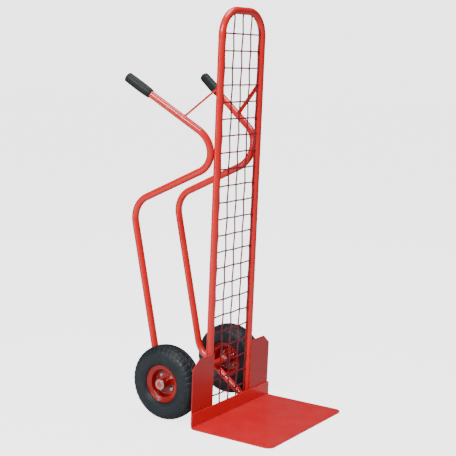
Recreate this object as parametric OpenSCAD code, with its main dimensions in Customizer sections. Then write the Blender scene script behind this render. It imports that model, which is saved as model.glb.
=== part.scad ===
// Hand truck with a fixed toe plate, a tall mesh back and two bent side handles.
// Frame: +Z up, the toe plate points to -Y, the axle runs along X. The origin is on the floor,
// at the centre of the truck's footprint. Left is -X. Sizes along Y are measured from the heel,
// the line where the upstand's front face would meet the floor.

/* [Back frame] */
// Height of the top tube's centre line above the floor
frame_h = 1394; // [1300:1:1500]
// Distance from the centre plane to a side tube's centre line
tube_x = 120; // [118:0.5:126]
// Outer diameter of every bent tube
tube_d = 25.4; // [22:0.1:26]
// Wall thickness of the tubes
tube_wall = 2; // [1.5:0.5:3]
// Centre line radius of the two top bends
top_bend_r = 84; // [75:1:100]
// Angle by which the back leans over the toe plate
lean = 1.66; // [0:0.01:2.5]

/* [Mesh] */
// Wire diameter
wire_d = 3.6; // [3:0.1:4.5]
// Distance between upright wires
upright_pitch = 50.8; // [48:0.1:51]
// Distance between cross wires
rung_pitch = 56.4; // [54:0.1:57]
// Height of the lowest cross wire
rung_first_z = 20.5; // [18:0.5:24]

/* [Toe plate] */
// Width of the plate
plate_w = 480; // [460:1:500]
// Depth of the plate in front of the heel
plate_depth = 312; // [280:1:330]
// Sheet thickness
plate_t = 5; // [4:0.5:6]
// Height of the upstand at the plate's back
upstand_h = 54; // [45:1:60]
// Radius of the plate's two front corners
corner_r = 26; // [15:1:40]

/* [Heel plates] */
// Height of the top edge above the floor
heel_plate_h = 236; // [210:1:250]
// Distance from the centre plane to the inner edge
heel_plate_inner_x = 115.5; // [112:0.5:118]
// Distance by which the outer edge stays inside the toe plate's edge
heel_plate_inset = 3; // [1:0.5:6]
// Sheet thickness
heel_plate_t = 4; // [3:0.5:5]

/* [Handles] */
// Distance from the centre plane to the handle's leg
leg_x = 126.7; // [124:0.1:129]
// Height of the upper rear bend's corner
elbow_z = 726; // [710:1:740]
// Distance behind the heel of the upper rear bend's corner
elbow_y = 351.3; // [340:0.1:360]
// Distance behind the heel of the bend above the foot
knee_y = 235.5; // [228:0.5:243]
// Distance from the centre plane to the front bend's corner
waist_x = 115.6; // [114:0.1:120]
// Height of the front bend's corner
waist_z = 919; // [910:1:928]
// Distance behind the heel of the front bend's corner
waist_y = -64; // [-65:0.1:-61]
// Position of the grip's end: sideways, behind the heel, height
grip_end = [221.5, 300, 1171.5];
// Centre line radius of the handle's bends
handle_bend_r = 84; // [70:1:90]
// Slope of the foot, from the knee down to the frame
foot_angle = 35; // [33:1:36]
// Length of a grip
grip_len = 104; // [95:1:125]
// Largest diameter of a grip
grip_d = 35.6; // [34:0.1:38]

/* [Braces] */
// Width of the flat bar
brace_w = 14; // [10:0.5:16]
// Thickness of the flat bar
brace_t = 4; // [3:0.5:5]
// Turn of the bar about its own length
brace_turn = 22; // [10:1:35]
// Distance from the handle's front corner to the bar, along the handle
brace_reach = 215.6; // [195:0.1:235]
// Height of the bar's top end
brace_top_z = 1137.6; // [1120:0.1:1160]

/* [Wheels] */
// Outer diameter of the tyre
tyre_d = 260; // [250:1:270]
// Width of the tyre
tyre_w = 85; // [80:1:88]
// Distance from the centre plane to the middle of a wheel
wheel_x = 191.5; // [190:0.5:200]
// Distance of the axle behind the heel
axle_y = 142; // [140:0.5:150]
// Diameter of the axle
axle_d = 20; // [18:0.5:20]

/* [Hidden] */
$fn = 64;
red = [0.84, 0.13, 0.10];
dark_rubber = [0.13, 0.14, 0.15];
zinc = [0.72, 0.72, 0.70];
brass = [0.74, 0.60, 0.30];
weld_gap = 0.05;
// Bending swells the tube a little, so its straight legs are thinner and reach a little way into the bends.
joint_step = 0.2;
joint_lap = 1;
tube_r = tube_d / 2;
leg_r = tube_r - joint_step;
bore_r = tube_r - tube_wall;
tube_y = plate_t + heel_plate_t + leg_r;

// Axle, its sleeve and everything along it. s is measured outwards from the middle of a wheel.
tyre_r = tyre_d / 2;
axle_z = tyre_r;
axle_r = axle_d / 2;
sleeve_r = 13.5;
hub_r = 17.5;
hub_bore_r = 14;
hub_half = 40;
bearing_flange_t = 1.5;
running_gap = 0.05;
end_play = 0.2;
washer_t = 2;
washer_s = hub_half + bearing_flange_t + end_play;
ring_t = 1.5;
ring_s = washer_s + washer_t + 0.1;
ring_groove_r = axle_r - 0.8;
axle_end_s = ring_s + ring_t + 1.8;

// Rim, shared by both halves
disc_t = 2.6;
rim_bolt_circle_r = 31;
rim_bolt_count = 4;
bolt_r = 3;
bolt_hole_r = 3.2;
bolt_head_d = 11.5;
bolt_head_h = 4;
nut_h = 5;
valve_r = 3;
valve_angle = -84;
valve_start = [61, -1];
valve_end = [32, 28];
rim_lip_r = 66;
bead_seat_r = 51;
bead_seat_s = 24;

// The handle's centre line: foot, knee, elbow, waist, end
sleeve_clear = leg_r + sleeve_r + weld_gap;
foot_touch = [axle_y + sleeve_clear * sin(foot_angle), axle_z - sleeve_clear * cos(foot_angle)];
function foot_line_z(y) = foot_touch[1] + (y - foot_touch[0]) * tan(foot_angle);
foot = [tube_x, tube_y, foot_line_z(tube_y)];
knee = [leg_x, knee_y, foot_line_z(knee_y)];
elbow = [leg_x, elbow_y, elbow_z];
waist = [waist_x, waist_y, waist_z];
upper_dir = unit(grip_end - waist);
grip_cap_t = 5;
handle_end = grip_end - upper_dir * grip_cap_t;
handle_path = [foot, knee, elbow, waist, handle_end];

// Brace, from the handle's centre line to the back of the side tube
brace_low = waist + brace_reach * upper_dir - [2.8, 0, 0];
brace_high = [tube_x - 2.2, tube_y + tube_r - brace_top_z * sin(lean), brace_top_z];

// The heel's place, which puts the origin at the middle of the footprint
elbow_in = unit(unit(knee - elbow) + unit(waist - elbow));
elbow_half = angle_between(knee - elbow, waist - elbow) / 2;
elbow_centre = elbow + elbow_in * handle_bend_r / sin(elbow_half);
back_reach = elbow_centre[1] + handle_bend_r + tube_r;
heel_y = (plate_depth - back_reach) / 2;

rung_count = 24;

// ---- Geometry helpers ----

function unit(v) = v / norm(v);
function angle_between(a, b) = acos((a * b) / (norm(a) * norm(b)));

// A closed oval around [middle_r, 0]: half_r along the radius, half_s across, squarer as power grows
function oval(middle_r, half_r, half_s, power, steps) = [
    for (i = [0:steps - 1])
        let (c = cos(360 * i / steps), s = sin(360 * i / steps))
            [middle_r + half_r * sign(c) * pow(abs(c), 2 / power),
             half_s * sign(s) * pow(abs(s), 2 / power)]
];

// Turns children from +Z to a direction, keeping their Y level
module towards(d) {
    rotate([0, acos(d[2]), atan2(d[1], d[0])])
        children();
}

module rod(p, q, r) {
    translate(p)
        towards(unit(q - p))
            cylinder(h = norm(q - p), r = r);
}

// Leg i of a path, as a direction
function leg(path, i) = unit(path[i + 1] - path[i]);
// Bend angle at corner i, and how much of each leg the bend takes
function turn(path, i) = angle_between(leg(path, i - 1), leg(path, i));
function trim(path, i, bend_r) =
    i == 0 || i == len(path) - 1 ? 0 : bend_r * tan(turn(path, i) / 2);
// The direction corner i turns towards, square to the leg before it, and the same carried round the bend
function turn_side(path, i) =
    let (a = leg(path, i - 1), b = leg(path, i))
        unit(b - (a * b) * a);
function carried_side(path, i) =
    turn_side(path, i) * cos(turn(path, i)) - leg(path, i - 1) * sin(turn(path, i));
// Twist of corner i's bend plane against the one before it
function roll(path, i) =
    i == 1 ? 0 :
    let (from = carried_side(path, i - 1), to = turn_side(path, i))
        atan2(cross(from, to) * leg(path, i - 1), from * to);

// The rest of a bent bar, from leg i on, each leg standing on +Z at the end of the one before
module bar_from(path, i, bend_r, r, longer) {
    last = len(path) - 2;
    angle = i == last ? 0 : turn(path, i + 1);
    length = norm(path[i + 1] - path[i]) - trim(path, i, bend_r) - trim(path, i + 1, bend_r);
    start = i == 0 ? -longer : -joint_lap;
    finish = length + (i == last ? longer : joint_lap);
    translate([0, 0, start])
        cylinder(h = finish - start, r = r - joint_step);
    if (i < last)
        translate([0, 0, length])
            rotate(roll(path, i + 1))
                translate([bend_r, 0, 0]) {
                    rotate([90, 0, 180])
                        rotate_extrude(angle = angle)
                            translate([bend_r, 0])
                                circle(r = r);
                    rotate([0, angle, 0])
                        translate([-bend_r, 0, 0])
                            bar_from(path, i + 1, bend_r, r, longer);
                }
}

// Moves children from the frame of a path's first leg to the path's own frame
module at_path_start(path) {
    x = turn_side(path, 1);
    z = leg(path, 0);
    y = cross(z, x);
    multmatrix([
        [x[0], y[0], z[0], path[0][0]],
        [x[1], y[1], z[1], path[0][1]],
        [x[2], y[2], z[2], path[0][2]],
        [0, 0, 0, 1]
    ])
        children();
}

// A round bar along a path of corners, all bent to the same radius
module bent_bar(path, bend_r, r) {
    at_path_start(path)
        bar_from(path, 0, bend_r, r, 0);
}

// The same as a tube, open at both ends
module bent_tube(path, bend_r) {
    at_path_start(path)
        difference() {
            bar_from(path, 0, bend_r, tube_r, 0);
            bar_from(path, 0, bend_r, bore_r, 1);
        }
}

// From the heel's frame to the part's own frame
module placed() {
    translate([0, heel_y, 0])
        children();
}

// The back's own upright frame, leaned over the toe plate
module leaned() {
    placed()
        rotate([lean, 0, 0])
            children();
}

module on_side(side) {
    if (side < 0)
        mirror([1, 0, 0])
            children();
    else
        children();
}

// A wheel's own frame: the axle along Z, outwards, with the wheel's middle at the origin
module at_wheel(side) {
    placed()
        on_side(side)
            translate([wheel_x, axle_y, axle_z])
                rotate([0, 90, 0])
                    children();
}

module ring(outer_r, inner_r, s, t) {
    translate([0, 0, s])
        difference() {
            cylinder(h = t, r = outer_r);
            translate([0, 0, -1])
                cylinder(h = t + 2, r = inner_r);
        }
}

// ---- Back frame and mesh ----

frame_path = [
    [-tube_x, tube_y, plate_t + 1],
    [-tube_x, tube_y, frame_h],
    [tube_x, tube_y, frame_h],
    [tube_x, tube_y, plate_t + 1]
];

module back_frame() {
    color(red)
        leaned()
            bent_tube(frame_path, top_bend_r);
}

// Height of the frame's centre line over a place x
function frame_top_z(x) =
    let (past = abs(x) - (tube_x - top_bend_r))
        past <= 0 ? frame_h :
        frame_h - top_bend_r + sqrt(top_bend_r * top_bend_r - past * past);

// Wires are cut where they meet the frame
module cut_by_frame() {
    color(red)
        leaned()
            difference() {
                union()
                    children();
                bent_bar(frame_path, top_bend_r, tube_r + weld_gap);
            }
}

module mesh_uprights() {
    bottom = rung_first_z - wire_d;
    cut_by_frame()
        for (i = [-2:2])
            translate([i * upright_pitch, tube_y + wire_d / 2, bottom])
                cylinder(h = frame_top_z(i * upright_pitch) - bottom, d = wire_d);
}

module mesh_rungs() {
    cut_by_frame()
        for (i = [0:rung_count - 1])
            translate([-tube_x, tube_y - wire_d / 2, rung_first_z + i * rung_pitch])
                rotate([0, 90, 0])
                    cylinder(h = 2 * tube_x, d = wire_d);
}

// ---- Toe plate and heel plates ----

// The bent sheet in section, y to the right and z up
module toe_section() {
    inner_r = plate_t;
    steps = 12;
    centre = [-(inner_r + (plate_t + inner_r) * sin(lean)) / cos(lean), plate_t + inner_r];
    up = [-sin(lean), cos(lean)];
    across = [cos(lean), sin(lean)];
    function arc_point(r, i) =
        let (angle = -90 + (90 + lean) * i / steps)
            centre + r * [cos(angle), sin(angle)];
    polygon([
        [-plate_depth, plate_t],
        [-plate_depth, 0],
        for (i = [0:steps])
            arc_point(inner_r + plate_t, i),
        up * upstand_h + across * plate_t,
        up * upstand_h,
        for (i = [0:steps])
            arc_point(inner_r, steps - i)
    ]);
}

module toe_outline() {
    half = plate_w / 2;
    back = 2 * plate_t;
    for (x = [-1, 1])
        translate([x * (half - corner_r), corner_r - plate_depth])
            circle(r = corner_r);
    translate([corner_r - half, -plate_depth])
        square([plate_w - 2 * corner_r, plate_depth + back]);
    translate([-half, corner_r - plate_depth])
        square([plate_w, plate_depth + back - corner_r]);
}

module toe_plate() {
    color(red)
        placed()
            intersection() {
                translate([-plate_w / 2, 0, 0])
                    rotate([90, 0, 90])
                        linear_extrude(plate_w)
                            toe_section();
                linear_extrude(upstand_h + 10)
                    toe_outline();
            }
}

module heel_plate(side) {
    outer_x = plate_w / 2 - heel_plate_inset;
    bottom = 2 * plate_t + 2;
    chamfer_w = 36;
    chamfer_h = 30;
    color(red)
        leaned()
            on_side(side)
                translate([0, plate_t + heel_plate_t, 0])
                    rotate([90, 0, 0])
                        linear_extrude(heel_plate_t)
                            polygon([
                                [heel_plate_inner_x, bottom],
                                [outer_x, bottom],
                                [outer_x, heel_plate_h - chamfer_h],
                                [outer_x - chamfer_w, heel_plate_h],
                                [heel_plate_inner_x, heel_plate_h]
                            ]);
}

// ---- Handles ----

// The right side tube's solid shape, to fit what meets it
module side_tube_envelope() {
    rotate([lean, 0, 0])
        translate([tube_x, tube_y, -5])
            cylinder(h = frame_h - top_bend_r, r = leg_r + weld_gap);
}

module handle_tube(side) {
    color(red)
        placed()
            on_side(side)
                difference() {
                    bent_tube(handle_path, handle_bend_r);
                    side_tube_envelope();
                }
}

// A slightly barrelled sleeve, narrowing towards its open end, with a rounded closed end
module grip(side) {
    big_r = grip_d / 2;
    bore_r = leg_r + running_gap;
    bore_len = grip_len - grip_cap_t + running_gap;
    color(dark_rubber)
        placed()
            on_side(side)
                translate(grip_end - upper_dir * grip_len)
                    towards(upper_dir)
                        rotate_extrude()
                            polygon([
                                [bore_r, 0],
                                [big_r - 2.4, 0],
                                [big_r - 1.8, 6],
                                [big_r - 0.7, 18],
                                [big_r, 34],
                                [big_r, grip_len - 34],
                                [big_r - 0.4, grip_len - 18],
                                [big_r - 0.5, grip_len - 6],
                                [big_r - 1.2, grip_len - 3],
                                [big_r - 3, grip_len - 1],
                                [big_r - 6, grip_len],
                                [0, grip_len],
                                [0, bore_len],
                                [bore_r, bore_len]
                            ]);
}

module brace(side) {
    into_tube = 6;
    bar = brace_high - brace_low;
    color(red)
        placed()
            on_side(side)
                difference() {
                    translate(brace_low)
                        towards(unit(bar))
                            rotate(-brace_turn)
                                translate([-brace_t / 2, -brace_w / 2, 0])
                                    cube([brace_t, brace_w, norm(bar) + into_tube]);
                    side_tube_envelope();
                    rod(waist + 100 * upper_dir, handle_end, leg_r + weld_gap);
                }
}

// ---- Axle ----

module axle_sleeve() {
    half = wheel_x - washer_s - washer_t - 0.1;
    color(red)
        placed()
            translate([-half, axle_y, axle_z])
                rotate([0, 90, 0])
                    ring(sleeve_r, axle_r + running_gap, 0, 2 * half);
}

module axle() {
    half = wheel_x + axle_end_s;
    chamfer = 1.2;
    color(red)
        placed()
            translate([0, axle_y, axle_z])
                rotate([0, 90, 0])
                    rotate_extrude()
                        polygon([
                            [0, -half],
                            [axle_r - chamfer, -half],
                            [axle_r, chamfer - half],
                            for (p = [
                                [axle_r, -1], [ring_groove_r, -1], [ring_groove_r, 1], [axle_r, 1]
                            ])
                                [p[0], p[1] * (ring_t / 2 + 0.1) - wheel_x - ring_s - ring_t / 2],
                            for (p = [
                                [axle_r, -1], [ring_groove_r, -1], [ring_groove_r, 1], [axle_r, 1]
                            ])
                                [p[0], p[1] * (ring_t / 2 + 0.1) + wheel_x + ring_s + ring_t / 2],
                            [axle_r, half - chamfer],
                            [axle_r - chamfer, half],
                            [0, half]
                        ]);
}

module axle_washers() {
    color(zinc)
        for (side = [-1, 1])
            at_wheel(side)
                for (s = [washer_s, -washer_s - washer_t])
                    ring(18, axle_r + 0.2, s, washer_t);
}

module retaining_rings() {
    gap_w = 5;
    color(zinc)
        for (side = [-1, 1])
            at_wheel(side)
                difference() {
                    ring(13.5, ring_groove_r + 0.1, ring_s, ring_t);
                    translate([-20, -gap_w / 2, ring_s - 1])
                        cube([20, gap_w, ring_t + 2]);
                }
}

// ---- Wheels ----

module tyre(side) {
    color(dark_rubber)
        at_wheel(side)
            rotate_extrude()
                difference() {
                    polygon(oval(92.5, tyre_r - 92.5, tyre_w / 2, 2.6, 40));
                    polygon(oval(91, 31, tyre_w / 2 - 6, 2.4, 32));
                    translate([0, -14])
                        square([70, 28]);
                    for (m = [0, 1])
                        mirror([0, m])
                            polygon([
                                [0, bead_seat_s - 0.3],
                                [bead_seat_r, bead_seat_s - 0.3],
                                [62.3, bead_seat_s + 2.6],
                                [rim_lip_r + 0.4, 30.8],
                                [rim_lip_r + 0.4, 50],
                                [0, 50]
                            ]);
                    square([bead_seat_r + 0.2, 100], center = true);
                }
}

module inner_tube(side) {
    color(dark_rubber)
        at_wheel(side)
            difference() {
                rotate_extrude()
                    difference() {
                        polygon(oval(91, 30.5, tyre_w / 2 - 6.6, 2.4, 32));
                        polygon(oval(91, 28, tyre_w / 2 - 9, 2.4, 32));
                    }
                along_valve()
                    cylinder(h = 20, r = valve_r + weld_gap);
            }
}

// One pressed half of the rim, from its disc at s = 0 out to its lip
module rim_half_shape() {
    difference() {
        rotate_extrude()
            polygon([
                [hub_r + weld_gap, 0],
                [46, 0],
                [50.5, 6],
                [bead_seat_r, bead_seat_s],
                [62, 27],
                [rim_lip_r, 31],
                [64.5, 33],
                [60.5, 29.5],
                [48.6, 27],
                [48, 8],
                [44.8, disc_t],
                [hub_r + weld_gap, disc_t]
            ]);
        at_rim_bolts()
            translate([0, 0, -1])
                cylinder(h = disc_t + 2, r = bolt_hole_r);
    }
}

module at_rim_bolts() {
    for (i = [0:rim_bolt_count - 1])
        rotate(i * 360 / rim_bolt_count + 45)
            translate([rim_bolt_circle_r, 0, 0])
                children();
}

// The valve's own frame: Z runs from the inner tube out into the rim's dish
module along_valve() {
    d = valve_end - valve_start;
    rotate(valve_angle)
        translate([valve_start[0], 0, valve_start[1]])
            rotate([0, atan2(d[0], d[1]), 0])
                children();
}

module outer_rim_half(side) {
    color(red)
        at_wheel(side)
            difference() {
                rim_half_shape();
                along_valve()
                    cylinder(h = 40, r = valve_r + 1.2);
            }
}

module inner_rim_half(side) {
    color(red)
        at_wheel(side)
            mirror([0, 0, 1])
                rim_half_shape();
}

module hub(side) {
    color(red)
        at_wheel(side)
            ring(hub_r, hub_bore_r, -hub_half, 2 * hub_half);
}

module bearing(side, face) {
    seat_len = 24;
    color(zinc)
        at_wheel(side)
            mirror([0, 0, face < 0 ? 1 : 0])
                difference() {
                    union() {
                        translate([0, 0, hub_half - seat_len])
                            cylinder(h = seat_len + 1, r = hub_bore_r - weld_gap);
                        translate([0, 0, hub_half])
                            cylinder(h = bearing_flange_t, r = hub_r);
                    }
                    cylinder(h = hub_half + 10, r = axle_r + running_gap);
                }
}

module rim_bolts(side) {
    color(zinc)
        at_wheel(side)
            at_rim_bolts() {
                translate([0, 0, disc_t])
                    cylinder(h = bolt_head_h, d = bolt_head_d, $fn = 6);
                translate([0, 0, -disc_t - nut_h - 2])
                    cylinder(h = 2 * disc_t + nut_h + 3, r = bolt_r);
            }
}

module rim_nuts(side) {
    color(zinc)
        at_wheel(side)
            at_rim_bolts()
                translate([0, 0, -disc_t - nut_h])
                    difference() {
                        cylinder(h = nut_h, d = bolt_head_d, $fn = 6);
                        translate([0, 0, -1])
                            cylinder(h = nut_h + 2, r = bolt_r + weld_gap);
                    }
}

module valve_stem(side) {
    color(brass)
        at_wheel(side)
            along_valve()
                cylinder(h = norm(valve_end - valve_start), r = valve_r);
}

module valve_cap(side) {
    cap_len = 11;
    stem_len = norm(valve_end - valve_start);
    color(dark_rubber)
        at_wheel(side)
            along_valve()
                translate([0, 0, stem_len - cap_len + 2])
                    difference() {
                        cylinder(h = cap_len, r = 4.3);
                        translate([0, 0, -1])
                            cylinder(h = cap_len - 1, r = valve_r + weld_gap);
                    }
}

back_frame();
mesh_uprights();
mesh_rungs();
toe_plate();
heel_plate(-1);  // left_heel_plate
heel_plate(1);  // right_heel_plate
handle_tube(-1);  // left_handle_tube
handle_tube(1);  // right_handle_tube
grip(-1);  // left_grip
grip(1);  // right_grip
brace(-1);  // left_brace
brace(1);  // right_brace
axle_sleeve();
axle();
axle_washers();
retaining_rings();
tyre(-1);  // left_tyre
tyre(1);  // right_tyre
inner_tube(-1);  // left_inner_tube
inner_tube(1);  // right_inner_tube
outer_rim_half(-1);  // left_outer_rim_half
outer_rim_half(1);  // right_outer_rim_half
inner_rim_half(-1);  // left_inner_rim_half
inner_rim_half(1);  // right_inner_rim_half
hub(-1);  // left_hub
hub(1);  // right_hub
bearing(-1, 1);  // left_outer_bearing
bearing(1, 1);  // right_outer_bearing
bearing(-1, -1);  // left_inner_bearing
bearing(1, -1);  // right_inner_bearing
rim_bolts(-1);  // left_rim_bolts
rim_bolts(1);  // right_rim_bolts
rim_nuts(-1);  // left_rim_nuts
rim_nuts(1);  // right_rim_nuts
valve_stem(-1);  // left_valve_stem
valve_stem(1);  // right_valve_stem
valve_cap(-1);  // left_valve_cap
valve_cap(1);  // right_valve_cap
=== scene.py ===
import math
import random

import bmesh
import bpy
import numpy as np
from mathutils import Matrix, Vector


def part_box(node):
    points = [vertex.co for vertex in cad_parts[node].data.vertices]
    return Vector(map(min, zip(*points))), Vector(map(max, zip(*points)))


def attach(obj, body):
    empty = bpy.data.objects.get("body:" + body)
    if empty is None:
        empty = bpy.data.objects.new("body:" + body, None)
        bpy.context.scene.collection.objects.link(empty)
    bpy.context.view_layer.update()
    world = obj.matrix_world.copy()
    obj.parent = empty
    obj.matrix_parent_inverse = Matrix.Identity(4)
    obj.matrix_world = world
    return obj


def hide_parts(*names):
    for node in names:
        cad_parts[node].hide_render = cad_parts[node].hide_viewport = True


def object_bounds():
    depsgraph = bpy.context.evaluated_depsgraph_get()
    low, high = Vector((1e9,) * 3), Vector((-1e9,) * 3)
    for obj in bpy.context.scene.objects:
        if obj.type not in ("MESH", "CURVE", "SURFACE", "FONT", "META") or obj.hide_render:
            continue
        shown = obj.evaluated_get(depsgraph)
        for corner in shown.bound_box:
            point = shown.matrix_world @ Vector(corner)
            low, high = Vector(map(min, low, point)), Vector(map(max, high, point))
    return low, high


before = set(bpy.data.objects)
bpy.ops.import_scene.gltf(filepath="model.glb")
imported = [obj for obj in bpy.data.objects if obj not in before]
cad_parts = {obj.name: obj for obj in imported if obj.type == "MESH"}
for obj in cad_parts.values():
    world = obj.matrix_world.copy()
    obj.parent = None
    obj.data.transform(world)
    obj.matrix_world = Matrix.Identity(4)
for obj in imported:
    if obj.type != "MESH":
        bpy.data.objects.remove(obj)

size_at_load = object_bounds()
random.seed(7)
scene = bpy.context.scene

# ---- Dimensions, in metres, in the row frame ----

PLATE_DEPTH = 0.312
PLATE_T = 0.005
HEEL_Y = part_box("toe_plate")[0].y + PLATE_DEPTH
UPSTAND_H = 0.054
LEAN = math.radians(1.66)
TUBE_X = 0.120
TUBE_R = 0.0126
BORE_R = 0.0107
TUBE_Y = 0.0215
FRAME_H = 1.394
TOP_BEND_R = 0.084
HANDLE_BEND_R = 0.084
WIRE_R = 0.0026
UPRIGHT_PITCH = 0.0508
RUNG_PITCH = 0.0564
RUNG_FIRST = 0.0205
RUNG_COUNT = 24
WHEEL_X = 0.1915
AXLE_Z = 0.130
AXLE_FROM_HEEL = 0.142
AXLE_Y = HEEL_Y + AXLE_FROM_HEEL
SLEEVE_R = 0.0135
FOOT_ANGLE = math.radians(35)
GRIP_LEN = 0.104
GRIP_R = 0.0178
BAR_W = 0.014
BAR_T = 0.004
BAR_TURN = math.radians(22)
LEG_X = 0.1267
LEG_X_AT_SLEEVE = 0.1242
HEEL_PLATE_INNER = 0.1155


def heel(x, y, z):
    """A point measured from the heel line on the floor."""
    return Vector((x, y + HEEL_Y, z))


def leaned(x, y, z):
    """A point in the back's own frame, which leans over the toe plate."""
    return heel(x, y * math.cos(LEAN) - z * math.sin(LEAN), y * math.sin(LEAN) + z * math.cos(LEAN))


def mirrored(points):
    """The points on the other side of the truck's middle plane."""
    return [Vector((-p.x, p.y, p.z)) for p in points]


# ---- Mesh building ----

def piece(name, verts, faces, material, body, slot, sharp=38.0, replaces=()):
    """A finished mesh piece that rides on a body and stands for the CAD nodes it replaces."""
    mesh = bpy.data.meshes.new(name)
    mesh.from_pydata([tuple(v) for v in verts], [], [tuple(f) for f in faces])
    bm = bmesh.new()
    bm.from_mesh(mesh)
    bmesh.ops.recalc_face_normals(bm, faces=bm.faces)
    bm.to_mesh(mesh)
    bm.free()
    mesh.materials.append(material)
    mesh.shade_smooth()
    mesh.set_sharp_from_angle(angle=math.radians(sharp))
    obj = bpy.data.objects.new(name, mesh)
    scene.collection.objects.link(obj)
    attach(obj, body)
    if replaces:
        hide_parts(*replaces)


class Builder:
    """Collects several closed shells into one mesh."""

    def __init__(self):
        self.verts = []
        self.faces = []

    def add(self, verts, faces):
        base = len(self.verts)
        self.verts += [Vector(v) for v in verts]
        self.faces += [[i + base for i in f] for f in faces]


def bent_path(corners, radius, step_deg=2.5):
    """The centre line through the corners, with every corner rounded to the same radius."""
    points = [corners[0]]
    for before, at, after in zip(corners, corners[1:], corners[2:]):
        a = (before - at).normalized()
        b = (after - at).normalized()
        half = a.angle(b) / 2
        centre = at + (a + b).normalized() * (radius / math.sin(half))
        start = at + a * (radius / math.tan(half)) - centre
        normal = start.cross(-a).normalized()
        sweep_angle = math.pi - 2 * half
        steps = max(4, int(math.degrees(sweep_angle) / step_deg))
        for i in range(steps + 1):
            turn = Matrix.Rotation(sweep_angle * i / steps, 3, normal)
            points.append(centre + turn @ start)
    points.append(corners[-1])
    return points


def path_frames(points):
    """A direction and two side vectors at every point, carried along without twist."""
    count = len(points)
    out = []
    side = None
    for i in range(count):
        d = (points[min(i + 1, count - 1)] - points[max(i - 1, 0)]).normalized()
        if side is None:
            side = d.cross(Vector((0, 0, 1)) if abs(d.z) < 0.9 else Vector((1, 0, 0)))
        side = (side - d * side.dot(d)).normalized()
        out.append((d, side, d.cross(side)))
    return out


def ring_faces(rings, sides, first=0):
    """The quads between rings of points that follow one another."""
    faces = []
    for i in range(rings - 1):
        a = first + i * sides
        for k in range(sides):
            n = (k + 1) % sides
            faces.append([a + k, a + n, a + sides + n, a + sides + k])
    return faces


def closed_rings(rings, sides):
    """The same, with a face over the first ring and one over the last."""
    last = (rings - 1) * sides
    return ring_faces(rings, sides) + [list(range(sides)), [last + k for k in range(sides)]]


def sweep(points, radii, sides):
    """A round bar along the points, closed at both ends. radii is one radius or one a point."""
    if not isinstance(radii, (list, tuple)):
        radii = [radii] * len(points)
    verts = []
    turns = [2 * math.pi * k / sides for k in range(sides)]
    for p, (d, u, v), r in zip(points, path_frames(points), radii):
        verts += [p + (u * math.cos(t) + v * math.sin(t)) * r for t in turns]
    return verts, closed_rings(len(points), sides)


def hollow_sweep(points, outer, inner, sides):
    """A tube along the points, open at both ends."""
    verts = []
    turns = [2 * math.pi * k / sides for k in range(sides)]
    frames = path_frames(points)
    for r in (outer, inner):
        for p, (d, u, v) in zip(points, frames):
            verts += [p + (u * math.cos(t) + v * math.sin(t)) * r for t in turns]
    rings = len(points)
    wall = rings * sides
    faces = ring_faces(rings, sides) + ring_faces(rings, sides, wall)
    for a in (0, (rings - 1) * sides):
        for k in range(sides):
            n = (k + 1) % sides
            faces.append([a + k, a + n, wall + a + n, wall + a + k])
    return verts, faces


def revolve(profile, steps, offset=None):
    """A closed (radius, along) outline turned about X. offset(i, angle) moves point i outwards."""
    verts, faces = [], []
    count = len(profile)
    for j in range(steps):
        t = 2 * math.pi * j / steps
        c, s = math.cos(t), math.sin(t)
        for i, (r, x) in enumerate(profile):
            if offset:
                dr, dx = offset(i, t)
                verts.append((x + dx, (r + dr) * c, (r + dr) * s))
            else:
                verts.append((x, r * c, r * s))
    for j in range(steps):
        m = (j + 1) % steps
        for i in range(count):
            n = (i + 1) % count
            faces.append([j * count + i, j * count + n, m * count + n, m * count + i])
    return verts, faces


def rounded_outline(corners, radii, steps):
    """A 2D polyline with its inner corners rounded."""
    out = [Vector(corners[0])]
    for i in range(1, len(corners) - 1):
        p = Vector(corners[i])
        a = (Vector(corners[i - 1]) - p).normalized()
        b = (Vector(corners[i + 1]) - p).normalized()
        half = a.angle(b) / 2
        r = radii[i]
        trim = r / math.tan(half)
        start, end = p + a * trim, p + b * trim
        centre = p + (a + b).normalized() * (r / math.sin(half))
        for k in range(steps + 1):
            f = k / steps
            chord = start.lerp(end, f) - centre
            out.append(centre + chord.normalized() * r)
    out.append(Vector(corners[-1]))
    return out


def sheet_outline(line, thickness):
    """A closed outline of a sheet whose one side follows the line."""
    count = len(line)
    back = []
    for i in range(count):
        d = (line[min(i + 1, count - 1)] - line[max(i - 1, 0)]).normalized()
        back.append(line[i] + Vector((d.y, -d.x)) * thickness)
    return [tuple(p) for p in line] + [tuple(p) for p in reversed(back)]


# ---- Materials ----

def new_material(name):
    """A material with its node tree, its shader and the place on the object."""
    material = bpy.data.materials.new(name)
    material.use_nodes = True
    tree = material.node_tree
    shader = tree.nodes["Principled BSDF"]
    coord = tree.nodes.new("ShaderNodeTexCoord")
    return material, tree, shader, coord.outputs["Object"]


def noise(tree, vector, scale, detail, roughness=0.5):
    node = tree.nodes.new("ShaderNodeTexNoise")
    node.inputs["Scale"].default_value = scale
    node.inputs["Detail"].default_value = detail
    node.inputs["Roughness"].default_value = roughness
    tree.links.new(vector, node.inputs["Vector"])
    return node.outputs["Fac"]


def remap(tree, value, low, high, to_low=0.0, to_high=1.0):
    node = tree.nodes.new("ShaderNodeMapRange")
    node.inputs["From Min"].default_value = low
    node.inputs["From Max"].default_value = high
    node.inputs["To Min"].default_value = to_low
    node.inputs["To Max"].default_value = to_high
    tree.links.new(value, node.inputs["Value"])
    return node.outputs["Result"]


def times(tree, a, b, operation="MULTIPLY"):
    node = tree.nodes.new("ShaderNodeMath")
    node.operation = operation
    for socket, value in zip(node.inputs, (a, b)):
        if isinstance(value, (int, float)):
            socket.default_value = value
        else:
            tree.links.new(value, socket)
    return node.outputs["Value"]


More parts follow.
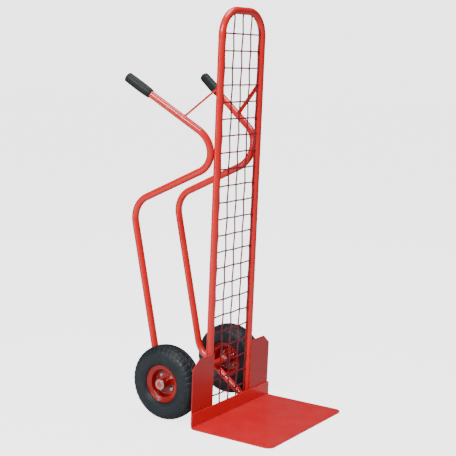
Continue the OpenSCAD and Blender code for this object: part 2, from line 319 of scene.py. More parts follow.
def blend_colours(tree, factor, a, b):
    node = tree.nodes.new("ShaderNodeMix")
    node.data_type = "RGBA"
    tree.links.new(factor, node.inputs["Factor"])
    for socket, value in ((node.inputs[6], a), (node.inputs[7], b)):
        if isinstance(value, tuple):
            socket.default_value = (*value, 1.0)
        else:
            tree.links.new(value, socket)
    return node.outputs[2]


def bump(tree, shader, height, strength, distance, under=None, socket="Normal"):
    node = tree.nodes.new("ShaderNodeBump")
    node.inputs["Strength"].default_value = strength
    node.inputs["Distance"].default_value = distance
    tree.links.new(height, node.inputs["Height"])
    if under is not None:
        tree.links.new(under, node.inputs["Normal"])
    tree.links.new(node.outputs["Normal"], shader.inputs[socket])
    return node.outputs["Normal"]


def surface(tree, socket):
    node = tree.nodes.new("ShaderNodeNewGeometry")
    return node.outputs[socket]


def upward(tree):
    """1 where the surface faces up, for dust."""
    split = tree.nodes.new("ShaderNodeSeparateXYZ")
    tree.links.new(surface(tree, "Normal"), split.inputs["Vector"])
    return split.outputs["Z"]


def paint(name, light, deep, gloss, coat, peel, wear):
    """Powder-coated red: gently mottled, with orange peel, dust on top faces and rubbed edges."""
    material, tree, shader, at = new_material(name)
    mottle = remap(tree, noise(tree, at, 9.0, 4.0), 0.35, 0.65)
    fine = remap(tree, noise(tree, at, 160.0, 2.0), 0.3, 0.7)
    colour = blend_colours(tree, mottle, deep, light)
    edges = remap(tree, surface(tree, "Pointiness"), 0.53, 0.60)
    chips = remap(tree, noise(tree, at, 210.0, 3.0), 0.52, 0.60)
    rubbed = times(tree, times(tree, edges, chips), wear)
    colour = blend_colours(tree, rubbed, colour, (0.16, 0.05, 0.045))
    lying = remap(tree, upward(tree), 0.55, 1.0)
    dusty = times(tree, lying, remap(tree, noise(tree, at, 14.0, 5.0), 0.45, 0.75))
    dusty = times(tree, dusty, 0.05)
    colour = blend_colours(tree, dusty, colour, (0.62, 0.50, 0.46))
    tree.links.new(colour, shader.inputs["Base Color"])
    smears = remap(tree, noise(tree, at, 22.0, 5.0, 0.6), 0.3, 0.75, gloss + 0.05, gloss + 0.16)
    rough = times(tree, smears, times(tree, rubbed, 0.3), "ADD")
    tree.links.new(rough, shader.inputs["Roughness"])
    coat_rough = remap(tree, noise(tree, at, 31.0, 4.0), 0.3, 0.75, 0.07, 0.13)
    tree.links.new(coat_rough, shader.inputs["Coat Roughness"])
    shader.inputs["Coat Weight"].default_value = coat
    shader.inputs["Coat IOR"].default_value = 1.5
    shader.inputs["IOR"].default_value = 1.46
    waves = bump(tree, shader, noise(tree, at, 70.0, 2.0), peel, 0.0006)
    bump(tree, shader, fine, peel * 0.6, 0.0002, waves)
    bump(tree, shader, noise(tree, at, 95.0, 1.5), peel * 0.5, 0.0004, socket="Coat Normal")
    return material


def rubber(name, light, deep, rough=(0.45, 0.62), grain=0.12, dust=0.10, specular=0.5):
    """Moulded rubber: blue-black, a little patchy, with a fine grain and pale dust in it."""
    material, tree, shader, at = new_material(name)
    colour = blend_colours(tree, remap(tree, noise(tree, at, 17.0, 4.0), 0.35, 0.65), deep, light)
    powder = times(tree, remap(tree, noise(tree, at, 48.0, 6.0, 0.65), 0.52, 0.72), dust)
    colour = blend_colours(tree, powder, colour, (0.33, 0.33, 0.31))
    edges = times(tree, remap(tree, surface(tree, "Pointiness"), 0.52, 0.60), 0.25)
    colour = blend_colours(tree, edges, colour, (0.12, 0.13, 0.135))
    tree.links.new(colour, shader.inputs["Base Color"])
    roughness = remap(tree, noise(tree, at, 40.0, 4.0), 0.3, 0.7, *rough)
    tree.links.new(roughness, shader.inputs["Roughness"])
    shader.inputs["Specular IOR Level"].default_value = specular
    coarse = bump(tree, shader, noise(tree, at, 130.0, 3.0), grain, 0.0005)
    bump(tree, shader, noise(tree, at, 900.0, 2.0), grain, 0.0002, coarse)
    return material


def metal(name, light, deep, rough=(0.22, 0.40), stain=(0.30, 0.27, 0.22), grain=0.06):
    """Plated or bare metal: clouded, finely scratched, with a little staining in it."""
    material, tree, shader, at = new_material(name)
    clouds = remap(tree, noise(tree, at, 60.0, 4.0), 0.35, 0.65)
    colour = blend_colours(tree, clouds, deep, light)
    stains = times(tree, remap(tree, noise(tree, at, 120.0, 5.0, 0.7), 0.56, 0.70), 0.45)
    colour = blend_colours(tree, stains, colour, stain)
    tree.links.new(colour, shader.inputs["Base Color"])
    shader.inputs["Metallic"].default_value = 1.0
    roughness = remap(tree, noise(tree, at, 260.0, 3.0), 0.3, 0.7, *rough)
    tree.links.new(roughness, shader.inputs["Roughness"])
    bump(tree, shader, noise(tree, at, 700.0, 2.0), grain, 0.0002)
    return material


RED = paint(
    "red_paint", (0.87, 0.013, 0.013), (0.81, 0.010, 0.010),
    gloss=0.20, coat=0.60, peel=0.003, wear=0.05,
)
RED_PLATE = paint(
    "red_plate_paint", (0.82, 0.010, 0.021), (0.78, 0.009, 0.018),
    gloss=0.24, coat=0.45, peel=0.002, wear=0.0,
)
# the heel plates' red is a darker, duller copy of the frame's red paint: painted shade for their front
# faces, which turn away from the key light
RED_HEEL_SHADED = paint(
    "red_heel_painted_shade", (0.60, 0.022, 0.026), (0.54, 0.019, 0.022),
    gloss=0.22, coat=0.08, peel=0.002, wear=0.0,
)
RED_RIM = paint(
    "red_rim_paint", (0.42, 0.006, 0.006), (0.33, 0.005, 0.005),
    gloss=0.16, coat=0.4, peel=0.003, wear=0.08,
)
RED_WIRE = paint(
    "red_wire_paint", (0.27, 0.024, 0.046), (0.20, 0.018, 0.036),
    gloss=0.30, coat=0.1, peel=0.003, wear=0.05,
)
RED_WELD = paint(
    "red_weld_paint", (0.76, 0.009, 0.006), (0.60, 0.007, 0.005),
    gloss=0.16, coat=0.5, peel=0.04, wear=0.2,
)
TYRE = rubber(
    "tyre_rubber", (0.014, 0.022, 0.027), (0.010, 0.016, 0.020),
    (0.38, 0.52), grain=0.03, dust=0.04, specular=0.4,
)
GRIP = rubber(
    "grip_rubber", (0.013, 0.019, 0.019), (0.010, 0.015, 0.015),
    (0.46, 0.54), grain=0.004, dust=0.02, specular=0.3,
)
TUBE = rubber("tube_rubber", (0.020, 0.020, 0.021), (0.012, 0.012, 0.013))
CAP = rubber(
    "cap_plastic", (0.018, 0.018, 0.019), (0.010, 0.010, 0.011),
    (0.30, 0.45), grain=0.03, dust=0.04,
)
ZINC = metal("zinc", (0.66, 0.65, 0.61), (0.50, 0.49, 0.46))
BRASS = metal("brass", (0.72, 0.50, 0.22), (0.55, 0.36, 0.14), stain=(0.20, 0.12, 0.05))

# ---- CAD nodes that keep their own mesh ----

def dress(node, material, bevel=0.0, segments=3):
    """Gives a CAD node its finish, and rounds its sharp edges where there is a bevel."""
    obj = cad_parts[node]
    obj.data.materials.clear()
    obj.data.materials.append(material)
    if bevel:
        custom = obj.data.attributes.get("custom_normal")
        if custom:
            obj.data.attributes.remove(custom)
        obj.data.shade_smooth()
        weld = obj.modifiers.new("weld", "WELD")
        weld.merge_threshold = 0.00001
        round_off = obj.modifiers.new("round", "BEVEL")
        round_off.width = bevel
        round_off.segments = segments
        round_off.limit_method = "ANGLE"
        round_off.angle_limit = math.radians(35)
        round_off.harden_normals = False
        even = obj.modifiers.new("even", "WEIGHTED_NORMAL")
        even.keep_sharp = False
        even.weight = 80


dress("toe_plate", RED_PLATE, 0.0014)
for side in ("left", "right"):
    # the heel plates get the darker red, which is painted shade on their front faces
    dress(side + "_heel_plate", RED_HEEL_SHADED, 0.0011)
    dress(side + "_brace", RED, 0.0008)
    dress(side + "_hub", RED_RIM, 0.0008)
    dress(side + "_outer_bearing", ZINC, 0.0004)
    dress(side + "_inner_bearing", ZINC, 0.0004)
    dress(side + "_rim_bolts", ZINC, 0.0005, 2)
    dress(side + "_rim_nuts", RED_RIM, 0.0005, 2)
    dress(side + "_inner_tube", TUBE)
    dress(side + "_valve_stem", BRASS, 0.0004, 2)
    dress(side + "_valve_cap", CAP, 0.0007)
dress("axle_sleeve", RED, 0.0010)
dress("axle", RED, 0.0005)
dress("axle_washers", ZINC, 0.0004)
dress("retaining_rings", ZINC, 0.0002, 2)

# ---- Tubes ----

FRAME_FOOT_Z = 0.006
TOUCH = 0.0001
FOOT_BEHIND = 0.0290
KNEE_BEHIND = 0.2355
BAR_FROM_WAIST = 0.2156
BAR_TOP_Z = 1.1376

frame_corners = [
    leaned(-TUBE_X, TUBE_Y, FRAME_FOOT_Z),
    leaned(-TUBE_X, TUBE_Y, FRAME_H),
    leaned(TUBE_X, TUBE_Y, FRAME_H),
    leaned(TUBE_X, TUBE_Y, FRAME_FOOT_Z),
]
piece(
    "back_tube",
    *hollow_sweep(bent_path(frame_corners, TOP_BEND_R), TUBE_R, BORE_R, 40),
    RED, "frame", "red_paint", replaces=["back_frame"],
)

# the foot of each handle runs down to the heel, just touching the axle's sleeve from below
clear = TUBE_R + SLEEVE_R - TOUCH
touch_y = AXLE_FROM_HEEL + clear * math.sin(FOOT_ANGLE)
touch_z = AXLE_Z - clear * math.cos(FOOT_ANGLE)


def foot_z(y):
    """The height of the foot's centre line at that distance behind the heel."""
    return touch_z + (y - touch_y) * math.tan(FOOT_ANGLE)


foot = heel(TUBE_X, FOOT_BEHIND, foot_z(FOOT_BEHIND))
knee = heel(LEG_X, KNEE_BEHIND, foot_z(KNEE_BEHIND))
elbow = heel(LEG_X, 0.3513, 0.726)
waist = heel(0.1156, -0.064, 0.919)
grip_end = heel(0.2215, 0.300, 1.1715)
upper = (grip_end - waist).normalized()
handle_corners = [foot, knee, elbow, waist, grip_end - upper * 0.006]
handle_line = bent_path(handle_corners, HANDLE_BEND_R)
# the brace bar goes from the handle's upper run to the back of the side tube
bar_low = waist + upper * BAR_FROM_WAIST - Vector((0.0028, 0, 0))
bar_high = heel(TUBE_X - 0.0022, TUBE_Y + TUBE_R - BAR_TOP_Z * math.sin(LEAN), BAR_TOP_Z)

for side, flip in (("left", mirrored), ("right", list)):
    piece(
        side + "_handle",
        *sweep(flip(handle_line), TUBE_R, 36),
        RED, "frame", "red_paint", replaces=[side + "_handle_tube"],
    )

# ---- Grips: a moulded, slightly barrelled sleeve with a collar and a domed end ----

def grip_mesh(flip):
    """A grip turned about the handle's end."""
    sides = 64
    # distance along the grip and radius, from the open end to the dome's middle
    line = [
        (0.0, TUBE_R + 0.0005), (0.0, GRIP_R - 0.0028),
        (0.0006, GRIP_R - 0.0022), (0.0030, GRIP_R - 0.0020),
    ]
    for i in range(25):
        x = 0.0045 + i * (0.0900 - 0.0045) / 24
        narrow = 0.0019 * max(0.0, 1 - x / 0.034) ** 1.6
        tail = 0.0005 * max(0.0, (x - 0.070) / 0.020)
        line.append((x, GRIP_R - narrow - tail))
    line += [
        (0.0912, GRIP_R - 0.0008), (0.0922, GRIP_R - 0.0011),
        (0.0932, GRIP_R - 0.0007), (0.0950, GRIP_R - 0.0005),
    ]
    for i in range(1, 10):
        t = math.radians(90 * i / 9)
        line.append((0.0978 + 0.0056 * math.sin(t), GRIP_R - 0.0061 + 0.0056 * math.cos(t)))
    line += [(0.1033, 0.0095), (0.1029, 0.0086), (0.1035, 0.0076), (0.1037, 0.0050), (0.1038, 0.0015)]
    start = grip_end - upper * GRIP_LEN
    u = upper.cross(Vector((0, 0, 1))).normalized()
    v = upper.cross(u)
    verts = []
    for x, r in line:
        for k in range(sides):
            t = 2 * math.pi * k / sides
            verts.append(start + upper * x + (u * math.cos(t) + v * math.sin(t)) * r)
    return flip(verts), closed_rings(len(line), sides)


for side, flip in (("left", mirrored), ("right", list)):
    piece(
        side + "_grip_sleeve", *grip_mesh(flip), GRIP, "frame", "grip_rubber",
        sharp=50, replaces=[side + "_grip"],
    )

# ---- Woven mesh: each wire is crimped over and under the ones it crosses ----

UPRIGHT_SWING = 0.0014
RUNG_SWING = 0.0025


def crimp(phase):
    """A rounded zigzag between -1 and 1."""
    return math.asin(0.96 * math.sin(phase)) / math.asin(0.96)


def frame_top(x):
    """The height of the tube's centre line at that distance from the middle."""
    past = abs(x) - (TUBE_X - TOP_BEND_R)
    if past <= 0:
        return FRAME_H
    return FRAME_H - TOP_BEND_R + math.sqrt(TOP_BEND_R ** 2 - past ** 2)


def rung_reach(z):
    """How far from the middle the tube's centre line is at that height."""
    past = z - (FRAME_H - TOP_BEND_R)
    if past <= 0:
        return TUBE_X
    return TUBE_X - TOP_BEND_R + math.sqrt(TOP_BEND_R ** 2 - past ** 2)


uprights = Builder()
for k in range(-2, 3):
    x = k * UPRIGHT_PITCH
    bottom = RUNG_FIRST - 0.0045
    top = frame_top(x) - TUBE_R * 0.75
    count = int((top - bottom) / (RUNG_PITCH / 12))
    line = []
    for i in range(count + 1):
        z = bottom + (top - bottom) * i / count
        phase = math.pi * (z - RUNG_FIRST) / RUNG_PITCH + math.pi * (k + 0.5)
        fade = min(1.0, (top - z) / 0.02)
        sway = 0.0004 * math.sin(z * 5.1 + k * 1.7)
        line.append(leaned(x + sway, TUBE_Y + UPRIGHT_SWING * fade * crimp(phase), z))
    uprights.add(*sweep(line, WIRE_R, 10))
piece(
    "woven_uprights", uprights.verts, uprights.faces, RED_WIRE, "frame", "wire_paint",
    sharp=60, replaces=["mesh_uprights"],
)

rungs = Builder()
for j in range(RUNG_COUNT):
    z = RUNG_FIRST + j * RUNG_PITCH
    reach = rung_reach(z) - TUBE_R * 0.85
    line = []
    for i in range(61):
        x = -reach + 2 * reach * i / 60
        phase = math.pi * x / UPRIGHT_PITCH + math.pi * (j + 0.5)
        fade = max(0.0, min(1.0, (reach - abs(x)) / 0.01))
        sag = 0.0003 * math.sin(j * 2.3 + x * 19)
        line.append(leaned(x, TUBE_Y - RUNG_SWING * fade * crimp(phase), z + sag))
    rungs.add(*sweep(line, WIRE_R, 10))
piece(
    "woven_rungs", rungs.verts, rungs.faces, RED_WIRE, "frame", "wire_paint",
    sharp=60, replaces=["mesh_rungs"],
)

# ---- Weld beads ----

RIPPLE = 0.0022
TAPER = 0.003
STITCH_STEP = 0.003


def bead(points, radius, closed=False):
    """A rippled weld bead along the points, thinner at its ends unless it is closed."""
    dense = []
    loop = points + [points[0]] if closed else points
    for a, b in zip(loop, loop[1:]):
        steps = max(1, int((b - a).length / 0.0007))
        dense += [a.lerp(b, i / steps) for i in range(steps)]
    dense.append(loop[-1])
    length = [0.0]
    for a, b in zip(dense, dense[1:]):
        length.append(length[-1] + (b - a).length)
    radii = []
    for s in length:
        ripple = 0.86 + 0.14 * abs(math.sin(math.pi * s / RIPPLE))
        ends = 1.0 if closed else min(1.0, 0.35 + s / TAPER, 0.35 + (length[-1] - s) / TAPER)
        radii.append(radius * ripple * ends * random.uniform(0.95, 1.05))
    return sweep(dense, radii, 8)


def circle_around(centre, direction, radius, count=36):
    """Points on a circle square to the direction."""
    u = direction.orthogonal().normalized()
    v = direction.normalized().cross(u)
    turns = [2 * math.pi * k / count for k in range(count)]
    return [centre + (u * math.cos(t) + v * math.sin(t)) * radius for t in turns]


def bar_outline(centre, direction, steps=6):
    """Points round the brace bar's section."""
    d = direction.normalized()
    level = d.cross(Vector((0, 0, 1))).normalized()
    slope = d.cross(level)
    wide = (level * math.cos(BAR_TURN) - slope * math.sin(BAR_TURN)) * BAR_W / 2
    thick = (level * math.sin(BAR_TURN) + slope * math.cos(BAR_TURN)) * BAR_T / 2
    corners = [(-1, -1), (1, -1), (1, 1), (-1, 1)]
    out = []
    for (a, b), (c, e) in zip(corners, corners[1:] + corners[:1]):
        for i in range(steps):
            f = i / steps
            out.append(centre + wide * (a + (c - a) * f) + thick * (b + (e - b) * f))
    return out


def saddle(outline, direction, tube_point, tube_dir, tube_radius):
    """Where a bar with that outline, going that way, first meets a tube's surface."""
    direction = direction.normalized()
    tube_dir = tube_dir.normalized()
    out = []
    for p in outline:
        w = p - tube_point
        a = direction - tube_dir * direction.dot(tube_dir)
        b = w - tube_dir * w.dot(tube_dir)
        qa, qb, qc = a.dot(a), 2 * a.dot(b), b.dot(b) - tube_radius ** 2
        disc = max(qb * qb - 4 * qa * qc, 0.0)
        out.append(p + direction * ((-qb - math.sqrt(disc)) / (2 * qa)))
    return out


side_low = leaned(TUBE_X, TUBE_Y, 0.0)
side_dir = (leaned(TUBE_X, TUBE_Y, 1.0) - side_low).normalized()

welds = Builder()
for flip in (mirrored, list):
    foot_circle = circle_around(knee, foot - knee, TUBE_R)
    foot_ring = saddle(foot_circle, foot - knee, side_low, side_dir, TUBE_R)
    welds.add(*bead(flip(foot_ring), 0.0022, closed=True))
    bar = bar_high - bar_low
    bar_foot = saddle(bar_outline(bar_high, bar), -bar, waist, upper, TUBE_R)
    welds.add(*bead(flip(bar_foot), 0.0022, closed=True))
    bar_head = saddle(bar_outline(bar_low, bar), bar, side_low, side_dir, TUBE_R)
    welds.add(*bead(flip(bar_head), 0.0024, closed=True))

    # the front bend against the back of the side tube
    near = min(handle_line, key=lambda p: (p - side_low).cross(side_dir).length)
    on_side = side_low + side_dir * (near - side_low).dot(side_dir)
    middle = (near + on_side) / 2
    away = (near - on_side).normalized()
    across = side_dir.cross(away).normalized()
    for s in (-1, 1):
        line = []
        for i in range(13):
            f = i / 6 - 1
            line.append(middle + side_dir * 0.017 * f + across * s * (0.0055 - 0.0018 * f * f))
        welds.add(*bead(flip(line), 0.0030))

    # the sleeve on the foot tube
    foot_dir = Vector((0, math.cos(FOOT_ANGLE), math.sin(FOOT_ANGLE)))
    normal = Vector((0, -math.sin(FOOT_ANGLE), math.cos(FOOT_ANGLE)))
    seat = heel(LEG_X_AT_SLEEVE, touch_y, touch_z) + normal * (TUBE_R - 0.0002)
    for s in (-1, 1):
        line = []
        for i in range(11):
            f = i / 5 - 1
            along = Vector((0.0085 * f, 0, 0))
            line.append(seat + along + foot_dir * s * 0.0048 + normal * (0.0004 - 0.0030 * f * f))
        welds.add(*bead(flip(line), 0.0026))

    # stitches between the heel plate's inner edge and the side tube
    for k in range(5):
        z = 0.064 + 0.034 * k
        stitch = [leaned(HEEL_PLATE_INNER - 0.0004, 0.0088, z + STITCH_STEP * i) for i in range(8)]
        welds.add(*bead(flip(stitch), 0.0019))
    # and behind it, on the tube's outer side
    for k in range(5):
        z = 0.030 + 0.046 * k
        stitch = [leaned(TUBE_X + 0.0072, 0.0100, z + STITCH_STEP * i) for i in range(9)]
        welds.add(*bead(flip(stitch), 0.0021))
    # the heel plate on the upstand's top edge
    for x in (0.128, 0.172, 0.212):
        stitch = [leaned(x + STITCH_STEP * i, PLATE_T - 0.0004, UPSTAND_H) for i in range(7)]
        welds.add(*bead(flip(stitch), 0.0012))
piece("weld_beads", welds.verts, welds.faces, RED_WELD, "frame", "red_paint", sharp=60)

WIRE_WELD_R = 0.0027
spots = Builder()


def spot(centre, radius):
    """A small flattened blob of weld."""
    verts = []
    rows, sides = 5, 9
    for i in range(rows):
        t = math.pi * (i + 0.5) / rows
        for k in range(sides):
            a = 2 * math.pi * k / sides
            wobble = radius * random.uniform(0.88, 1.08)
            verts.append(centre + Vector((
                wobble * math.sin(t) * math.cos(a),
                wobble * math.sin(t) * math.sin(a),
                wobble * 0.9 * math.cos(t),
            )))
    spots.add(verts, closed_rings(rows, sides))


for j in range(RUNG_COUNT):
    z = RUNG_FIRST + j * RUNG_PITCH
    for s in (-1, 1):
        spot(leaned(s * (rung_reach(z) - TUBE_R + 0.0002), TUBE_Y, z), WIRE_WELD_R)
for k in range(-2, 3):
    x = k * UPRIGHT_PITCH
    spot(leaned(x, TUBE_Y, frame_top(x) - TUBE_R * 1.05), WIRE_WELD_R)
piece("wire_welds", spots.verts, spots.faces, RED_WELD, "frame", "wire_paint", sharp=60)

# ---- Tyres: shallow blocks on the shoulders, zigzag grooves between, ribbed sidewalls ----

TYRE_MID_R = 0.0925
TYRE_HALF_R = 0.0375
TYRE_HALF_S = 0.0425
TYRE_SQUARENESS = 2.6
TYRE_STEPS = 720
TYRE_TURN = 0.4
SECTION_POINTS = 104
BEAD_R = 0.0668
SHOULDER_R = 0.1085
BLOCKS = 40
SHOULDER_DEPTH = 0.0009
ZIGZAG_DEPTH = 0.0026
ZIGZAG_ACROSS = 0.0125
SIPE_DEPTH = 0.0022
SIDEWALL_ACROSS = 0.03
NIB_H = 0.0004
RIB_H = 0.0007
RIBS = ((0.1045, 0.0011), (0.0985, 0.0006), (0.0765, 0.0009), (0.0715, 0.0011))


def oval_point(t):
    """A point of the tyre's squared oval section as (radius, distance across)."""
    c, s = math.cos(t), math.sin(t)
    return (
        TYRE_MID_R + TYRE_HALF_R * math.copysign(abs(c) ** (2 / TYRE_SQUARENESS), c),
        TYRE_HALF_S * math.copysign(abs(s) ** (2 / TYRE_SQUARENESS), s),
    )


def tyre_profile():
    """The outline of the tyre's section: its outer points, evenly spaced, and the inner ones."""
    outer = []
    raw = [oval_point(math.radians(a)) for a in np.linspace(-131, 131, 700)]
    keep = [p for p in raw if p[0] > BEAD_R]
    dist = [0.0]
    for a, b in zip(keep, keep[1:]):
        dist.append(dist[-1] + math.hypot(a[0] - b[0], a[1] - b[1]))
    for i in range(SECTION_POINTS):
        d = dist[-1] * i / (SECTION_POINTS - 1)
        j = min(int(np.searchsorted(dist, d)), len(keep) - 1)
        outer.append(keep[j])
    top_s = outer[-1][1]
    inner = [
        (0.0664, top_s - 0.0006), (0.0662, 0.0316), (0.0622, 0.0272), (0.0515, 0.0240),
        (0.0512, 0.0180), (0.0560, 0.0160), (0.0640, 0.0260), (0.0800, 0.0355), (0.1000, 0.0355),
        (0.1180, 0.0280), (0.1225, 0.0120),
    ]
    closing = inner + [(r, -s) for r, s in reversed(inner)]
    return outer, closing


def smooth(edge0, edge1, x):
    """0 up to the first edge, 1 past the second, and a soft step between."""
    t = max(0.0, min(1.0, (x - edge0) / (edge1 - edge0)))
    return t * t * (3 - 2 * t)


def groove(distance, half_width):
    """1 within a groove's half width and 0 outside it, with a soft wall."""
    return 1 - smooth(half_width, half_width + 0.0010, abs(distance))


def tread_depth(r, s, turn):
    """How deep the tread is cut at that radius and distance across. turn counts the blocks."""
    if r <= SHOULDER_R:
        return 0.0
    across = abs(s)
    arc = 2 * math.pi * r / BLOCKS
    shifted = (turn + (0.5 if s >= 0 else 0.0)) % 1
    slant = (across - 0.026) * 0.28
    shoulder = groove((shifted - 0.5) * arc - slant, 0.0021) * smooth(SHOULDER_R, SHOULDER_R + 0.004, r)
    shoulder *= smooth(ZIGZAG_ACROSS, ZIGZAG_ACROSS + 0.002, across)
    zigzag = 0.0021 * (abs(shifted * 4 - 2) - 1)
    ring = groove(across - ZIGZAG_ACROSS - zigzag, 0.0014) * smooth(0.122, 0.125, r)
    sipe = groove((turn % 1 - 0.5) * arc - s * 0.9, 0.0007) * (1 - smooth(0.0085, 0.0100, across))
    return max(SHOULDER_DEPTH * shoulder, ZIGZAG_DEPTH * ring, SIPE_DEPTH * sipe)


def sidewall_height(r, across, turn):
    """How far the round ribs and the ring of fine nibs stand out of the sidewall."""
    if across <= SIDEWALL_ACROSS:
        return 0.0
    height = 0.0
    for ring_r, width in RIBS:
        height = max(height, RIB_H * (1 - smooth(width * 0.4, width * 1.5, abs(r - ring_r))))
    if 0.1055 < r < 0.1095:
        height = max(height, NIB_H * (1 - smooth(0.18, 0.30, abs(turn * 4 % 1 - 0.5))))
    return height


def tyre_mesh():
    """The tyre in the wheel's own frame, its tread cut in by moving points along their normals."""
    outer, closing = tyre_profile()
    normals = []
    for i in range(len(outer)):
        a, b = outer[max(i - 1, 0)], outer[min(i + 1, len(outer) - 1)]
        dr, ds = b[0] - a[0], b[1] - a[1]
        n = math.hypot(dr, ds)
        normals.append((ds / n, -dr / n))

    def offset(i, angle):
        if i >= len(outer):
            return 0.0, 0.0
        r, s = outer[i]
        turn = angle / (2 * math.pi) * BLOCKS
        h = sidewall_height(r, abs(s), turn) - tread_depth(r, s, turn)
        return normals[i][0] * h, normals[i][1] * h

    return revolve(outer + closing, TYRE_STEPS, offset)


tyre_verts, tyre_faces = tyre_mesh()


def wheel_points(verts, sign, turn=0.0):
    """From a wheel's own frame, with X outwards, to its place. sign is -1 on the left."""
    c, s = math.cos(turn), math.sin(turn)
    return [
        Vector((sign * (WHEEL_X + v[0]), AXLE_Y + v[1] * c - v[2] * s, AXLE_Z + v[1] * s + v[2] * c))
        for v in verts
    ]


for side, sign in (("left", -1), ("right", 1)):
    piece(
        side + "_tyre_tread", wheel_points(tyre_verts, sign, TYRE_TURN * sign), tyre_faces, TYRE,
        side + "_wheel", "tyre_rubber", sharp=32, replaces=[side + "_tyre"],
    )

# ---- Rims: pressed sheet with rounded bends and a rolled lip ----

RIM_T = 0.0022

rim_line = rounded_outline(
    [
        (0.01755, 0.0026), (0.0455, 0.0026), (0.0484, 0.0262), (0.0588, 0.0287), (0.0648, 0.0324),
        (0.0668, 0.0306), (0.0655, 0.0288),
    ],
    [0, 0.0050, 0.0042, 0.0050, 0.0012, 0.0012, 0], 8,
)
rim_verts, rim_faces = revolve(sheet_outline(rim_line, RIM_T), 144)

for side, sign in (("left", -1), ("right", 1)):
    piece(
        side + "_rim_front", wheel_points(rim_verts, sign), rim_faces, RED_RIM,
        side + "_wheel", "red_paint", sharp=45, replaces=[side + "_outer_rim_half"],
    )
    back = [(-v[0], v[1], v[2]) for v in rim_verts]
    piece(
        side + "_rim_back", wheel_points(back, sign), rim_faces, RED_RIM,
        side + "_wheel", "red_paint", sharp=45, replaces=[side + "_inner_rim_half"],
    )

# ---- Floor, light and camera ----

FLOOR_HALF = 30
FLOOR_GLOW = 3.0
WORLD_SEEN = 3.2
WORLD_LIGHT = 0.30
WORLD_SHINE = 0.10
WHITE = (1.0, 1.0, 1.0, 1.0)

floor_mesh = bpy.data.meshes.new("floor")
floor_mesh.from_pydata(
    [(FLOOR_HALF * x, FLOOR_HALF * y, 0) for x, y in ((-1, -1), (1, -1), (1, 1), (-1, 1))],
    [], [(0, 1, 2, 3)],
)
floor = bpy.data.objects.new("floor", floor_mesh)
scene.collection.objects.link(floor)
floor_material, tree, shader, at = new_material("floor_paper")
clouding = remap(tree, noise(tree, at, 3.0, 3.0), 0.3, 0.7)
paper = blend_colours(tree, clouding, (0.56, 0.56, 0.56), (0.58, 0.58, 0.58))
tree.links.new(paper, shader.inputs["Base Color"])
shader.inputs["Roughness"].default_value = 0.95
shader.inputs["Specular IOR Level"].default_value = 0.1
# the paper looks overexposed, as on the photo, without throwing that light on the truck
glow = tree.nodes.new("ShaderNodeEmission")
glow.inputs["Strength"].default_value = FLOOR_GLOW
seen = tree.nodes.new("ShaderNodeLightPath")
nothing = tree.nodes.new("ShaderNodeEmission")
nothing.inputs["Strength"].default_value = 0.0
pick = tree.nodes.new("ShaderNodeMixShader")
tree.links.new(seen.outputs["Is Camera Ray"], pick.inputs[0])
tree.links.new(nothing.outputs[0], pick.inputs[1])
tree.links.new(glow.outputs[0], pick.inputs[2])
both = tree.nodes.new("ShaderNodeAddShader")
tree.links.new(shader.outputs[0], both.inputs[0])
tree.links.new(pick.outputs[0], both.inputs[1])
tree.links.new(both.outputs[0], tree.nodes["Material Output"].inputs["Surface"])
floor_mesh.materials.append(floor_material)
floor.location.z = min(size_at_load[0].z, 0.0) - 0.0002

world = bpy.data.worlds.new("studio")
scene.world = world
world.use_nodes = True
sky = world.node_tree


def sky_shade(strength, node=None):
    """A plain white background of that strength."""
    node = node or sky.nodes.new("ShaderNodeBackground")
    node.inputs["Color"].default_value = WHITE
    node.inputs["Strength"].default_value = strength
    return node.outputs[0]


def sky_choice(test, off, on):
    """One background or the other, by the kind of ray."""
    node = sky.nodes.new("ShaderNodeMixShader")
    for socket, value in zip(node.inputs, (test, off, on)):
        sky.links.new(value, socket)
    return node.outputs[0]


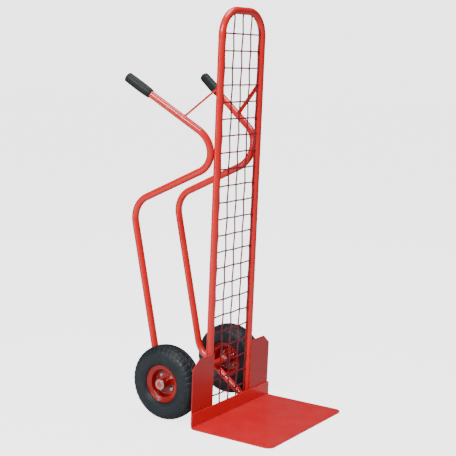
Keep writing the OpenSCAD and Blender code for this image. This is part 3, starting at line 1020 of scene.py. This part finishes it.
ray = sky.nodes.new("ShaderNodeLightPath")
lit = sky_shade(WORLD_LIGHT, sky.nodes["Background"])
unseen = sky_choice(ray.outputs["Is Glossy Ray"], lit, sky_shade(WORLD_SHINE))
all_rays = sky_choice(ray.outputs["Is Camera Ray"], unseen, sky_shade(WORLD_SEEN))
sky.links.new(all_rays, sky.nodes["World Output"].inputs["Surface"])


def softbox(name, place, aim, width, height, watts):
    """A white rectangular lamp turned towards a point."""
    data = bpy.data.lights.new(name, "AREA")
    data.shape = "RECTANGLE"
    data.size = width
    data.size_y = height
    data.energy = watts
    lamp = bpy.data.objects.new(name, data)
    scene.collection.objects.link(lamp)
    lamp.location = place
    lamp.rotation_mode = "QUATERNION"
    lamp.rotation_quaternion = (Vector(aim) - Vector(place)).to_track_quat("-Z", "Y")


softbox("key", (-3.7, -0.7, 3.1), (0, 0, 0.7), 1.2, 1.2, 155)
softbox("overhead", (0.1, -0.3, 4.0), (0.0, -0.1, 0.0), 2.0, 2.0, 85)
softbox("strip", (-2.4, 1.2, 1.1), (0, 0, 0.8), 0.35, 2.2, 15)

CAMERA_AZIMUTH = math.radians(-55.810)
CAMERA_ELEVATION = math.radians(8.5165)
CAMERA_ROLL = math.radians(0.9671)
CAMERA_DISTANCE = 3.2319
CAMERA_AIM = heel(-0.3798, -0.2344, 0.7404)

camera_data = bpy.data.cameras.new("camera")
camera = bpy.data.objects.new("camera", camera_data)
scene.collection.objects.link(camera)
level = math.cos(CAMERA_ELEVATION)
back = Vector((
    math.sin(CAMERA_AZIMUTH) * level,
    -math.cos(CAMERA_AZIMUTH) * level,
    math.sin(CAMERA_ELEVATION),
))
right = Vector((math.cos(CAMERA_AZIMUTH), math.sin(CAMERA_AZIMUTH), 0.0))
up = back.cross(right)
right_rolled = right * math.cos(CAMERA_ROLL) + up * math.sin(CAMERA_ROLL)
up_rolled = up * math.cos(CAMERA_ROLL) - right * math.sin(CAMERA_ROLL)
camera.location = CAMERA_AIM + back * CAMERA_DISTANCE
camera.rotation_mode = "QUATERNION"
camera.rotation_quaternion = Matrix((right_rolled, up_rolled, back)).transposed().to_quaternion()
camera_data.sensor_width = 36.0
camera_data.lens = 84.27
camera_data.shift_x = -0.0035
camera_data.shift_y = -0.0097
camera_data.clip_start = 0.1
camera_data.clip_end = 200.0
scene.camera = camera
